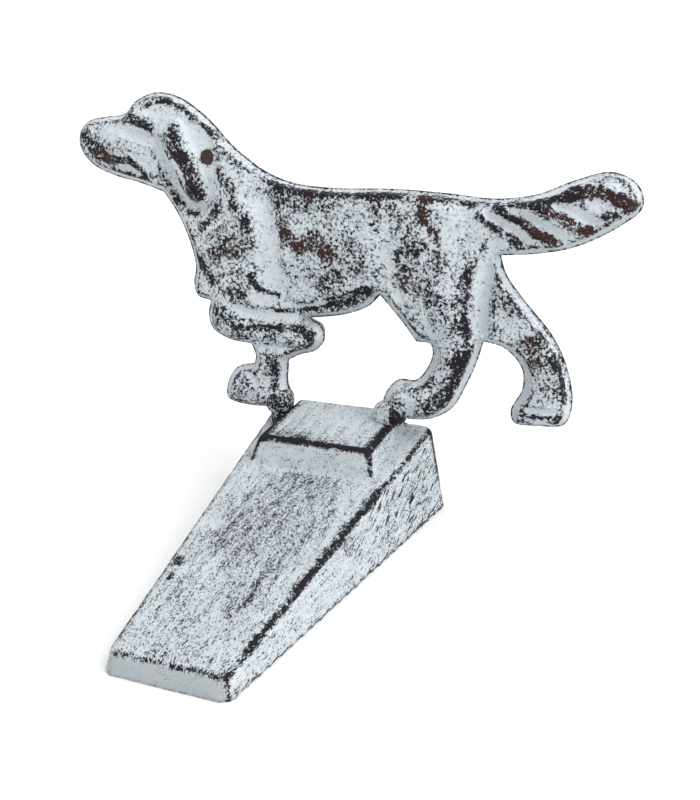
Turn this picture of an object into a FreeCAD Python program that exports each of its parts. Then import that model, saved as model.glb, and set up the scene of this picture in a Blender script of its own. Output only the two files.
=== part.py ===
"""Cast-iron wedge door stop with a pointing setter standing across its heel.

Two castings make the wedge and the figure work together: an open-bottomed wedge with a raised
saddle, and a dog cast as a front half and a back half that meet on an upright parting plane.
A recessed rivet through the neck joins the halves, a lug under each standing foot straddles an
edge of the saddle, and a screw from the hollow under the wedge pulls each lug down.

Frame, millimetres: +Z up, the floor at z = 0, the wedge tip towards -Y, the dog's nose towards -X.
"""
import FreeCAD, Part
import os
import Sketcher
from FreeCAD import Placement, Rotation, Vector

DIMENSIONS = {
    # wedge, with y measured back from the tip
    "wedge_length": 105.0,
    "centreline_x": 2.3,
    "tip_width": 28.9,
    "tip_height": 5.1,
    "heel_width": 57.2,
    "heel_height": 23.3,
    "draft": 10.2,
    "heel_allowance": 8.0,
    "overshoot": 1.0,
    "heel_corner_radius": 2.5,
    "tip_corner_radius": 3.0,
    "edge_radius": 0.9,
    "wall": 3.5,
    "hollow_front_y": 30.5,
    "pit_x": 20.6,
    "pit_y": 51.3,
    "pit_z": 10.7,
    "pit_radius": 2.1,
    # raised saddle on the wedge
    "saddle_root_z": 17.0,
    "saddle_root_width": 35.2,
    "saddle_root_front_y": 72.5,
    "saddle_root_back_y": 104.0,
    "saddle_top_front_z": 25.2,
    "saddle_top_width": 31.4,
    "saddle_top_front_y": 75.4,
    "saddle_top_length": 27.6,
    "saddle_top_slope": 4.0,
    # figure
    "parting_y": 44.5,
    "slab_height": 4.2,
    "head_height": 5.4,
    "torso_height": 6.0,
    "muscle_height": 6.8,
    "peg_diameter": 4.0,
    "peg_length": 2.4,
    "peg_clearance": 0.2,
    # foot lugs and their screws
    "lug_y": 43.3,
    "lug_depth": 8.2,
    "lug_edge_radius": 2.4,
    "lug_clearance": 0.1,
    "fore_lug_x": -15.8,
    "fore_lug_width": 6.2,
    "fore_lug_crown_z": 28.6,
    "fore_lug_foot_z": 20.0,
    "fore_screw_x": -15.4,
    "hind_lug_x": 16.6,
    "hind_lug_width": 9.0,
    "hind_lug_crown_z": 27.4,
    "hind_lug_foot_z": 24.5,
    "hind_screw_x": 15.6,
    "boss_diameter": 9.0,
    "boss_bottom_z": 14.0,
    "boss_height": 7.0,
    "screw_hole_diameter": 4.0,
    "screw_hole_depth": 16.0,
    "screw_diameter": 3.9,
    "screw_length": 14.5,
    "screw_head_diameter": 7.0,
    "screw_head_height": 2.6,
    "screw_slot_width": 1.0,
    "screw_slot_depth": 1.2,
    # neck rivet
    "rivet_x": -34.6,
    "rivet_z": 94.4,
    "rivet_diameter": 2.6,
    "rivet_head_diameter": 3.8,
    "rivet_head_height": 0.9,
    "rivet_seat_height": 3.0,
    "rivet_clearance": 0.1,
}

# The dog's outline on the parting plane, as (x, z) from head to tail and back along the legs.
# Each run is one smooth curve, and two runs meet at a corner.
OUTLINE = [
    # throat, jaw, muzzle, skull, nape, back, tail
    [(-50.5, 84.5), (-58.5, 86.8), (-66.5, 88.5), (-73.5, 91.6), (-76.8, 96.0), (-76.2, 100.2),
     (-73.0, 103.0), (-67.0, 104.2), (-61.5, 105.0), (-57.5, 108.4), (-51.0, 110.6), (-44.0, 109.3),
     (-36.5, 104.6), (-28.5, 97.0), (-20.5, 91.5), (-12.0, 88.4), (0.0, 87.4), (16.0, 87.8),
     (30.0, 87.3), (42.5, 86.5), (52.5, 88.0), (61.0, 91.5), (69.5, 93.7), (75.5, 91.0),
     (77.0, 86.0), (72.0, 81.2), (62.5, 76.0), (53.5, 73.8), (44.3, 72.8)],
    # far hind leg, rear of the thigh round the foot to the crotch
    [(44.3, 72.8), (46.0, 68.0), (51.5, 61.2), (58.5, 53.3), (62.5, 45.5), (64.4, 36.5),
     (62.8, 30.8), (56.0, 29.6), (50.0, 29.8), (49.0, 33.0), (51.6, 39.0), (51.2, 44.5),
     (46.5, 49.3), (41.0, 50.6)],
    # near hind leg, hock to the foot and up the shin to the flank
    [(41.0, 50.6), (39.5, 45.0), (37.0, 38.5), (33.2, 31.4), (27.0, 27.8), (19.0, 27.4),
     (14.3, 29.8), (15.0, 34.0), (18.4, 37.8), (23.2, 38.2), (26.6, 42.5), (27.2, 47.6),
     (22.8, 50.0), (17.0, 56.3), (13.0, 60.4)],
    # belly
    [(13.0, 60.4), (9.5, 57.0), (3.0, 54.4), (-3.0, 53.2), (-7.5, 52.6)],
    # raised forefoot and the underside of its forearm
    [(-7.5, 52.6), (-3.8, 50.3), (-3.0, 47.0), (-5.5, 43.6), (-10.0, 42.0), (-13.8, 40.0)],
    # standing foreleg and its foot
    [(-13.8, 40.0), (-14.2, 33.0), (-13.0, 28.6), (-18.0, 26.2), (-27.0, 25.4), (-33.0, 26.8),
     (-33.0, 31.0), (-29.8, 36.2), (-24.2, 38.0)],
    [(-24.2, 38.0), (-23.8, 40.4), (-25.0, 43.6)],
    # raised knee, breast and throat
    [(-25.0, 43.6), (-32.0, 44.4), (-37.0, 47.0), (-38.2, 51.0), (-37.3, 55.0)],
    [(-37.3, 55.0), (-41.5, 56.2), (-42.4, 60.0), (-41.6, 64.0), (-43.0, 71.0), (-46.6, 79.0),
     (-50.5, 84.5)],
]

# Raised masses: ellipsoids centred on the parting plane, given by centre x and z, half length,
# half width, tilt in degrees above +X, and the size that holds the height reached.
MASSES = {
    "skull": (-52.0, 99.4, 13.0, 9.4, -25, "head_height"),
    "ear": (-46.6, 94.6, 10.4, 4.6, -58, "muscle_height"),
    "neck": (-35.0, 86.0, 19.0, 12.5, -48, "head_height"),
    "ribs": (-13.0, 70.5, 31.0, 16.5, 0, "torso_height"),
    "loin": (16.0, 74.5, 28.0, 12.4, -2, "torso_height"),
    "haunch": (28.0, 68.5, 17.5, 9.8, 74, "muscle_height"),
    "raised_forearm": (-20.5, 48.6, 16.0, 4.6, 2, "head_height"),
}

# Locating pegs cast on the front half's flat back, as (x, z).
PEGS = {"breast_peg": (-26.0, 62.0), "haunch_peg": (29.0, 70.0), "tail_peg": (57.0, 82.0)}

doc = FreeCAD.newDocument("setter_door_stop")


def fill_sheet():
    """The sheet of driving dimensions: a name beside each plain number."""
    sheet = doc.addObject("Spreadsheet::Sheet", "sizes")
    for row, (name, value) in enumerate(DIMENSIONS.items(), start=1):
        sheet.set(f"A{row}", name)
        sheet.set(f"B{row}", str(value))
        sheet.setAlias(f"B{row}", name)
    doc.recompute()
    return sheet


sizes = fill_sheet()


def size(name):
    """A driving dimension as a number, in millimetres or degrees."""
    return float(sizes.get(name))


def new_body(name, x="0", y="0", z="0"):
    """A body placed at an expression for each coordinate."""
    body = doc.addObject("PartDesign::Body", name)
    body.Label = name
    for axis, place in zip("xyz", (x, y, z)):
        body.setExpression(f"Placement.Base.{axis}", place)
    return body


def new_sketch(body, name, role, height="0"):
    """A sketch parallel to one of the body's own origin planes, a height along its normal."""
    sketch = body.newObject("Sketcher::SketchObject", name)
    plane = next(item for item in body.Origin.OriginFeatures if item.Role == role)
    sketch.AttachmentSupport = (plane, [""])
    sketch.MapMode = "FlatFace"
    sketch.setExpression("AttachmentOffset.Base.z", height)
    return sketch


START, END, CENTRE = 1, 2, 3
TINY = 0.01
HORIZONTAL_AXIS, UPRIGHT_AXIS = -1, -2
ORIGIN = (-1, START)


def dimension(sketch, kind, where, value):
    """Add a dimension to a sketch and tie it to an expression on the sheet."""
    index = sketch.addConstraint(Sketcher.Constraint(kind, *where, 1.0))
    sketch.setExpression(f"Constraints[{index}]", value)


def place_point(sketch, point, x, y):
    """Fix a point of a sketch at two expressions."""
    for kind, place, axis in (("DistanceX", x, UPRIGHT_AXIS), ("DistanceY", y, HORIZONTAL_AXIS)):
        if place == "0":
            sketch.addConstraint(Sketcher.Constraint("PointOnObject", *point, axis))
        else:
            dimension(sketch, kind, (*ORIGIN, *point), place)


def polygon(sketch, corners):
    """A closed run of lines through corners given as pairs of expressions."""
    spots = [Vector(*(float(sketch.evalExpression(place)) for place in corner), 0)
             for corner in corners]
    for here, there in zip(spots, spots[1:] + spots[:1]):
        sketch.addGeometry(Part.LineSegment(here, there), False)
    for line, corner in enumerate(corners):
        following = (line + 1) % len(corners)
        sketch.addConstraint(Sketcher.Constraint("Coincident", line, END, following, START))
        place_point(sketch, (line, START), *corner)


def trapezoid(sketch, low_width, high_width, low, high):
    """A polygon symmetric about the sketch's upright axis, between two heights."""
    half_low, half_high = f"({low_width}) / 2", f"({high_width}) / 2"
    polygon(sketch, [(f"-{half_low}", low), (half_low, low), (half_high, high),
                     (f"-{half_high}", high)])


def circle(sketch, diameter, x="0", y="0"):
    """A circle whose centre and diameter come from the sheet."""
    index = sketch.addGeometry(Part.Circle(Vector(1, 1, 0), Vector(0, 0, 1), 1.5), False)
    dimension(sketch, "Diameter", (index,), diameter)
    place_point(sketch, (index, CENTRE), x, y)


def smooth_curve(points):
    """A curve through points of the sketch plane."""
    curve = Part.BSplineCurve()
    curve.interpolate([Vector(x, y, 0) for x, y in points])
    return curve


def extrude(body, kind, name, sketch, length, draft="0", reverse=False, both_ways=False):
    """A Pad or a Pocket of one sketch."""
    feature = body.newObject(f"PartDesign::{kind}", name)
    feature.Profile = sketch
    feature.Reversed = reverse
    feature.Midplane = both_ways
    feature.setExpression("Length", length)
    if draft != "0":
        feature.setExpression("TaperAngle", draft)
    return feature


def loft(body, kind, name, first, last):
    """A ruled loft between two sketches."""
    feature = body.newObject(f"PartDesign::{kind}Loft", name)
    feature.Profile = first
    feature.Sections = [last]
    feature.Ruled = True
    return feature


def fillet(body, name, base, radius, wanted):
    """Round the edges of the feature's own base that a test picks out."""
    doc.recompute()
    edges = [f"Edge{n}" for n, edge in enumerate(base.Shape.Edges, start=1) if wanted(edge)]
    feature = body.newObject("PartDesign::Fillet", name)
    feature.Base = (base, edges)
    feature.setExpression("Radius", radius)
    return feature


def along(edge):
    """The unit direction from an edge's first point to its last."""
    first, last = (vertex.Point for vertex in edge.Vertexes)
    return (last - first).normalize()


def wedge_blank(body):
    """The wedge solid: a drafted block in plan, squared off at the heel and sloped on top."""
    plan = new_sketch(body, "plan", "XY_Plane")
    spread = "(sizes.heel_width - sizes.tip_width) / sizes.wedge_length"
    past_heel = "sizes.wedge_length + sizes.heel_allowance"
    trapezoid(plan, "sizes.tip_width", f"sizes.tip_width + {spread} * ({past_heel})",
              "0", past_heel)
    extrude(body, "Pad", "drafted_block", plan, "sizes.heel_height + sizes.overshoot", "-sizes.draft")

    behind = new_sketch(body, "behind_heel", "XY_Plane")
    trapezoid(behind, "2 * sizes.heel_width", "2 * sizes.heel_width", "sizes.wedge_length",
              "2 * sizes.wedge_length")
    extrude(body, "Pocket", "square_heel", behind, "2 * sizes.heel_height", reverse=True)

    above = new_sketch(body, "above_slope", "YZ_Plane")
    polygon(above, [("0", "sizes.tip_height"), ("sizes.wedge_length", "sizes.heel_height"),
                    ("sizes.wedge_length", "2 * sizes.heel_height"),
                    ("0", "2 * sizes.heel_height")])
    return extrude(body, "Pocket", "sloped_top", above, "2 * sizes.heel_width", both_ways=True)


def hollow_section(body, name, place):
    """The hollow's upright section at a distance from the tip, a wall inside the outer faces."""
    # The XZ plane's normal points to -Y, so a height along it is -y.
    sketch = new_sketch(body, name, "XZ_Plane", f"-({place})")
    share = f"({place}) / sizes.wedge_length"
    height = f"(sizes.tip_height + (sizes.heel_height - sizes.tip_height) * {share} - sizes.wall)"
    rim = f"(sizes.tip_width + (sizes.heel_width - sizes.tip_width) * {share} - 2 * sizes.wall)"
    roof = f"{rim} - 2 * {height} * tan(sizes.draft * 1deg)"
    trapezoid(sketch, rim, roof, "0", height)
    return sketch


def wedge_casting():
    """The wedge: open underneath, with a saddle, two screw bosses and a small casting pit."""
    body = new_body("wedge_casting", x="sizes.centreline_x", y="-sizes.wedge_length / 2")
    blank = wedge_blank(body)
    fillet(body, "heel_corners", blank, "sizes.heel_corner_radius",
           lambda edge: edge.CenterOfMass.y > size("wedge_length") - TINY and abs(along(edge).z) > 0.9)
    fillet(body, "tip_corners", body.Tip, "sizes.tip_corner_radius",
           lambda edge: edge.CenterOfMass.y < size("tip_height") and abs(along(edge).z) > 0.9)
    fillet(body, "top_edges", body.Tip, "sizes.edge_radius",
           lambda edge: abs(along(edge).y) > 0.9 and edge.CenterOfMass.z > size("tip_height"))

    front = hollow_section(body, "hollow_front_section", "sizes.hollow_front_y")
    back = hollow_section(body, "hollow_back_section", "(sizes.wedge_length - sizes.wall)")
    loft(body, "Subtractive", "hollow", back, front)

    root = new_sketch(body, "saddle_root", "XY_Plane", "sizes.saddle_root_z")
    trapezoid(root, "sizes.saddle_root_width", "sizes.saddle_root_width",
              "sizes.saddle_root_front_y", "sizes.saddle_root_back_y")
    top = new_sketch(body, "saddle_top", "XY_Plane", "sizes.saddle_top_front_z")
    top.setExpression("AttachmentOffset.Base.y", "sizes.saddle_top_front_y")
    top.AttachmentOffset.Rotation = Rotation(Vector(1, 0, 0), size("saddle_top_slope"))
    top.setExpression("AttachmentOffset.Rotation.Angle", "sizes.saddle_top_slope")
    trapezoid(top, "sizes.saddle_top_width", "sizes.saddle_top_width", "0",
              "sizes.saddle_top_length")
    loft(body, "Additive", "saddle", root, top)
    fillet(body, "saddle_edges", body.Tip, "sizes.edge_radius",
           lambda edge: edge.CenterOfMass.z > size("saddle_top_front_z") - TINY)

    bosses = new_sketch(body, "boss_circles", "XY_Plane", "sizes.boss_bottom_z")
    holes = new_sketch(body, "screw_hole_circles", "XY_Plane", "sizes.boss_bottom_z - sizes.overshoot")
    for screw in ("fore_screw_x", "hind_screw_x"):
        place = (f"sizes.{screw} - sizes.centreline_x", "sizes.lug_y + sizes.wedge_length / 2")
        circle(bosses, "sizes.boss_diameter", *place)
        circle(holes, "sizes.screw_hole_diameter", *place)
    extrude(body, "Pad", "screw_bosses", bosses, "sizes.boss_height")
    extrude(body, "Pocket", "screw_holes", holes, "sizes.screw_hole_depth", reverse=True)

    pit = body.newObject("PartDesign::SubtractiveSphere", "casting_pit")
    pit.setExpression("Radius", "sizes.pit_radius")
    for axis in "xyz":
        pit.setExpression(f"Placement.Base.{axis}", f"sizes.pit_{axis}")
    return body


def cylinder(name, diameter, length, place, lying=False):
    """A round bar standing up, or lying along +Y, from a place given by three expressions."""
    bar = doc.addObject("Part::Cylinder", name)
    bar.setExpression("Radius", f"({diameter}) / 2")
    bar.setExpression("Height", length)
    if lying:
        bar.Placement = Placement(Vector(), Rotation(Vector(1, 0, 0), -90))
    for axis, value in zip("xyz", place):
        bar.setExpression(f"Placement.Base.{axis}", value)
    return bar


def joined(name, pieces):
    """One solid from several."""
    result = doc.addObject("Part::MultiFuse", name)
    result.Shapes = pieces
    return result


def less(name, base, tool):
    """One solid with another taken away."""
    result = doc.addObject("Part::Cut", name)
    result.Base = base
    result.Tool = tool
    return result


def figure_slab():
    """The dog's outline as a slab, facing -Y from the parting plane."""
    body = new_body("figure_slab", y="sizes.parting_y")
    outline = new_sketch(body, "outline", "XZ_Plane")
    for run in OUTLINE:
        outline.addGeometry(smooth_curve(run), False)
    extrude(body, "Pad", "slab", outline, "sizes.slab_height")
    return body


def raised_masses():
    """The ellipsoidal masses, cut flat on the parting plane."""
    masses = []
    for name, (x, z, half_length, half_width, tilt, height) in MASSES.items():
        mass = doc.addObject("Part::Ellipsoid", name)
        mass.Radius1 = half_width
        mass.Radius2 = half_length
        mass.setExpression("Radius3", f"sizes.{height}")
        mass.Angle1 = -90
        mass.Angle2 = 90
        mass.Angle3 = 360
        mass.Placement = Placement(Vector(x, 0, z), Rotation(Vector(0, 1, 0), -tilt))
        mass.setExpression("Placement.Base.y", "sizes.parting_y")
        masses.append(mass)
    behind = doc.addObject("Part::Box", "behind_parting_plane")
    for side in ("Length", "Width", "Height"):
        behind.setExpression(side, "2 * sizes.wedge_length")
    behind.setExpression("Placement.Base.x", "-sizes.wedge_length")
    behind.setExpression("Placement.Base.y", "sizes.parting_y")
    return less("half_masses", joined("masses", masses), behind)


def figure_blank():
    """Half a dog with the neck's stepped rivet hole, from the parting plane towards -Y."""
    solid = joined("half_dog", [figure_slab(), raised_masses()])
    front = "sizes.parting_y - sizes.wedge_length"
    shank = cylinder("shank_hole", "sizes.rivet_diameter + sizes.rivet_clearance",
                     "sizes.wedge_length", ("sizes.rivet_x", front, "sizes.rivet_z"), lying=True)
    seat = cylinder("rivet_seat", "sizes.rivet_head_diameter + sizes.rivet_clearance",
                    "sizes.wedge_length - sizes.rivet_seat_height",
                    ("sizes.rivet_x", front, "sizes.rivet_z"), lying=True)
    return less("figure_blank", solid, joined("rivet_hole", [shank, seat]))


def foot_lug(leg, growth="0"):
    """An arched block through the parting plane, standing across an edge of the saddle."""
    name = f"{leg}_lug" if growth == "0" else f"{leg}_lug_notch"
    body = new_body(name, x=f"sizes.{leg}_lug_x", y="sizes.lug_y")
    sketch = new_sketch(body, f"{name}_arch", "XZ_Plane", f"-sizes.lug_depth / 2 - {growth}")
    width = f"sizes.{leg}_lug_width + 2 * {growth}"
    trapezoid(sketch, width, width, f"sizes.{leg}_lug_foot_z", f"sizes.{leg}_lug_crown_z")
    block = extrude(body, "Pad", f"{name}_block", sketch, f"sizes.lug_depth + 2 * {growth}")
    crown = new_sketch(body, f"{name}_crown_circle", "XZ_Plane",
                       f"-sizes.lug_depth / 2 - {growth}")
    circle(crown, width, "0", f"sizes.{leg}_lug_crown_z")
    extrude(body, "Pad", f"{name}_crown", crown, f"sizes.lug_depth + 2 * {growth}")
    if growth == "0":
        half_depth = size("lug_depth") / 2
        fillet(body, f"{name}_edges", body.Tip, "sizes.lug_edge_radius",
               lambda edge: abs(abs(edge.CenterOfMass.y) - half_depth) < TINY
               and edge.CenterOfMass.z > size(f"{leg}_lug_crown_z") + TINY)
    return body


def screw_place(leg, height):
    """Where a foot screw's axis meets a height."""
    return (f"sizes.{leg}_screw_x", "sizes.lug_y", height)


def foot_screw(leg):
    """A slotted pan-head screw from the hollow up into a foot lug."""
    shank = cylinder(f"{leg}_screw_shank", "sizes.screw_diameter", "sizes.screw_length",
                     screw_place(leg, "sizes.boss_bottom_z"))
    under = "sizes.boss_bottom_z - sizes.screw_head_height"
    head = cylinder(f"{leg}_screw_head", "sizes.screw_head_diameter", "sizes.screw_head_height",
                    screw_place(leg, under))
    slot = doc.addObject("Part::Box", f"{leg}_screw_slot")
    slot.setExpression("Length", "sizes.screw_head_diameter")
    slot.setExpression("Width", "sizes.screw_slot_width")
    slot.setExpression("Height", "sizes.screw_slot_depth")
    slot.setExpression("Placement.Base.x", f"sizes.{leg}_screw_x - sizes.screw_head_diameter / 2")
    slot.setExpression("Placement.Base.y", "sizes.lug_y - sizes.screw_slot_width / 2")
    slot.setExpression("Placement.Base.z", under)
    blank = joined(f"{leg}_screw_blank", [shank, head])
    return less(f"{leg}_foot_screw", blank, slot)


def neck_rivet():
    """A round bar headed at both ends, flush on the seats inside the two halves."""
    def bar(name, diameter, start, length):
        return cylinder(name, diameter, length,
                        ("sizes.rivet_x", f"sizes.parting_y + {start}", "sizes.rivet_z"), lying=True)

    seat = "sizes.rivet_seat_height"
    shank = bar("rivet_shank", "sizes.rivet_diameter", f"(-{seat})", f"2 * {seat}")
    heads = [bar("rivet_front_head", "sizes.rivet_head_diameter",
                 f"(-{seat} - sizes.rivet_head_height)", "sizes.rivet_head_height"),
             bar("rivet_back_head", "sizes.rivet_head_diameter", f"({seat})",
                 "sizes.rivet_head_height")]
    return joined("neck_rivet", [shank] + heads)


def dog_halves(wedge):
    """The front half carries pegs and both lugs; the back half has their sockets and notches."""
    blank = figure_blank()
    legs = ("fore", "hind")
    plane = "sizes.parting_y"

    def pegs(kind, growth):
        diameter = f"sizes.peg_diameter + 2 * {growth}"
        length = f"2 * (sizes.peg_length + {growth})"
        start = f"{plane} - sizes.peg_length - {growth}"
        return [cylinder(f"{name}_{kind}", diameter, length, (str(x), start, str(z)), lying=True)
                for name, (x, z) in PEGS.items()]

    solid = joined("front_solid", [blank, *pegs("pin", "0"), *map(foot_lug, legs)])
    holes = [cylinder(f"{leg}_screw_hole", "sizes.screw_hole_diameter", "sizes.screw_hole_depth",
                      screw_place(leg, "sizes.boss_bottom_z")) for leg in legs]
    drilled = less("front_drilled", solid, joined("lug_screw_holes", holes))
    front = less("dog_front_half", drilled, wedge)

    mirrored = doc.addObject("Part::Mirroring", "back_blank")
    mirrored.Source = blank
    mirrored.Normal = Vector(0, 1, 0)
    mirrored.Base = Vector(0, size("parting_y"), 0)
    notches = [foot_lug(leg, "sizes.lug_clearance") for leg in legs]
    relief = joined("back_cuts", pegs("socket", "sizes.peg_clearance") + notches)
    back = less("dog_back_half", mirrored, relief)
    return [front, back]


def check(pieces):
    """Stop unless every object computed and every sub-part is one or more valid solids."""
    failed = [item.Name for item in doc.Objects if {"Invalid", "Error"} & set(item.State)]
    if failed:
        raise RuntimeError(f"failed objects: {failed}")
    for piece in pieces:
        if piece.Shape.isNull() or not piece.Shape.isValid() or not piece.Shape.Solids:
            raise RuntimeError(f"{piece.Label} is not a valid solid")


def main():
    wedge = wedge_casting()
    pieces = [wedge, *dog_halves(wedge), neck_rivet(), foot_screw("fore"), foot_screw("hind")]
    doc.recompute()
    check(pieces)
    os.makedirs("parts", exist_ok=True)
    for piece in pieces:
        piece.Shape.exportStep(f"parts/{piece.Label}.step")
        box = piece.Shape.BoundBox
        print(f"{piece.Label}: {len(piece.Shape.Solids)} solid, {piece.Shape.Volume:.0f} mm3, "
              f"x {box.XMin:.2f}..{box.XMax:.2f} y {box.YMin:.2f}..{box.YMax:.2f} "
              f"z {box.ZMin:.2f}..{box.ZMax:.2f}")


main()
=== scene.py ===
"""Looks for the cast-iron setter door stop: relief castings, worn white paint, studio and camera.

Lengths in this script are millimetres until a mesh or object is made, where MM turns them into
metres. The frame's +Z is up, the wedge's tip points to -Y and the dog's nose to -X.
"""
import math

import bmesh
import bpy
import numpy as np
from mathutils import Matrix, Vector, noise
from mathutils.geometry import delaunay_2d_cdt


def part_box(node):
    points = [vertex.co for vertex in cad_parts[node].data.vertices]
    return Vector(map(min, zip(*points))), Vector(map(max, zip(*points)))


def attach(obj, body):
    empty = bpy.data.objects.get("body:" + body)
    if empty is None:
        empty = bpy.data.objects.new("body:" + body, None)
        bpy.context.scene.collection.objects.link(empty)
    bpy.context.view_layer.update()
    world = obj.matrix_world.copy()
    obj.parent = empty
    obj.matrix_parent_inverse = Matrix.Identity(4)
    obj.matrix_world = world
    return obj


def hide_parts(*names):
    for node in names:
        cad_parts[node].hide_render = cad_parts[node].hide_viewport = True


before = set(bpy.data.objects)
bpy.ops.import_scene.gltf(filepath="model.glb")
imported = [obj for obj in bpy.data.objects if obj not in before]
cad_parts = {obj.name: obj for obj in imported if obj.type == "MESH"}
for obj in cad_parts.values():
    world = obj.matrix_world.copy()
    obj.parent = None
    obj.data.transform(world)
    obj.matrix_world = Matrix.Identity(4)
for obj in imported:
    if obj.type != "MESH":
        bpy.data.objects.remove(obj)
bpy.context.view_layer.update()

MM = 0.001
PARTING_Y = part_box("dog_back_half")[0].y / MM
RIVET_LOW, RIVET_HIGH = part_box("neck_rivet")
RIVET = np.array((RIVET_LOW + RIVET_HIGH) / 2)[[0, 2]] / MM

# ---------------------------------------------------------------------------------------------
# The dog's outline and relief, as (x, z) in millimetres on the parting plane
# ---------------------------------------------------------------------------------------------
OUTLINE = [
    # throat, jaw, muzzle, skull, nape, back, tail
    [(-50.5, 84.5), (-58.5, 86.8), (-66.5, 88.5), (-73.5, 91.6), (-76.8, 96.0), (-76.2, 100.2),
     (-73.0, 103.0), (-67.0, 104.2), (-61.5, 105.0), (-57.5, 108.4), (-51.0, 110.6), (-44.0, 109.3),
     (-36.5, 104.6), (-28.5, 97.0), (-20.5, 91.5), (-12.0, 88.4), (0.0, 87.4), (16.0, 87.8),
     (30.0, 87.3), (42.5, 86.5), (52.5, 88.0), (61.0, 91.5), (69.5, 93.7), (75.5, 91.0),
     (77.0, 86.0), (72.0, 81.2), (62.5, 76.0), (53.5, 73.8), (44.3, 72.8)],
    # far hind leg
    [(44.3, 72.8), (46.0, 68.0), (51.5, 61.2), (58.5, 53.3), (62.5, 45.5), (64.4, 36.5),
     (62.8, 30.8), (56.0, 29.6), (50.0, 29.8), (49.0, 33.0), (51.6, 39.0), (51.2, 44.5),
     (46.5, 49.3), (41.0, 50.6)],
    # near hind leg
    [(41.0, 50.6), (39.5, 45.0), (37.0, 38.5), (33.2, 31.4), (27.0, 27.8), (19.0, 27.4),
     (14.3, 29.8), (15.0, 34.0), (18.4, 37.8), (23.2, 38.2), (26.6, 42.5), (27.7, 46.6),
     (26.8, 48.6), (23.2, 48.8)],
    [(23.2, 48.8), (20.3, 52.4), (17.0, 56.2), (13.0, 60.4)],
    # belly
    [(13.0, 60.4), (9.5, 57.0), (3.0, 54.4), (-3.0, 53.2), (-7.5, 52.6)],
    # raised forefoot
    [(-7.5, 52.6), (-3.8, 50.3), (-3.0, 47.0), (-5.5, 43.6), (-10.0, 42.0), (-13.8, 40.0)],
    # standing foreleg and its foot
    [(-13.8, 40.0), (-14.2, 33.0), (-13.0, 28.6), (-18.0, 26.2), (-27.0, 25.4), (-33.0, 26.8),
     (-33.0, 31.0), (-29.8, 36.2), (-24.2, 38.0)],
    [(-24.2, 38.0), (-23.8, 40.4), (-25.0, 43.6)],
    # raised knee, breast and throat
    [(-25.0, 43.6), (-32.0, 44.4), (-37.0, 47.0), (-38.2, 51.0), (-37.3, 55.0)],
    [(-37.3, 55.0), (-41.5, 56.2), (-42.4, 60.0), (-41.6, 64.0), (-43.0, 71.0), (-46.6, 79.0),
     (-50.5, 84.5)],
]

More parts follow.
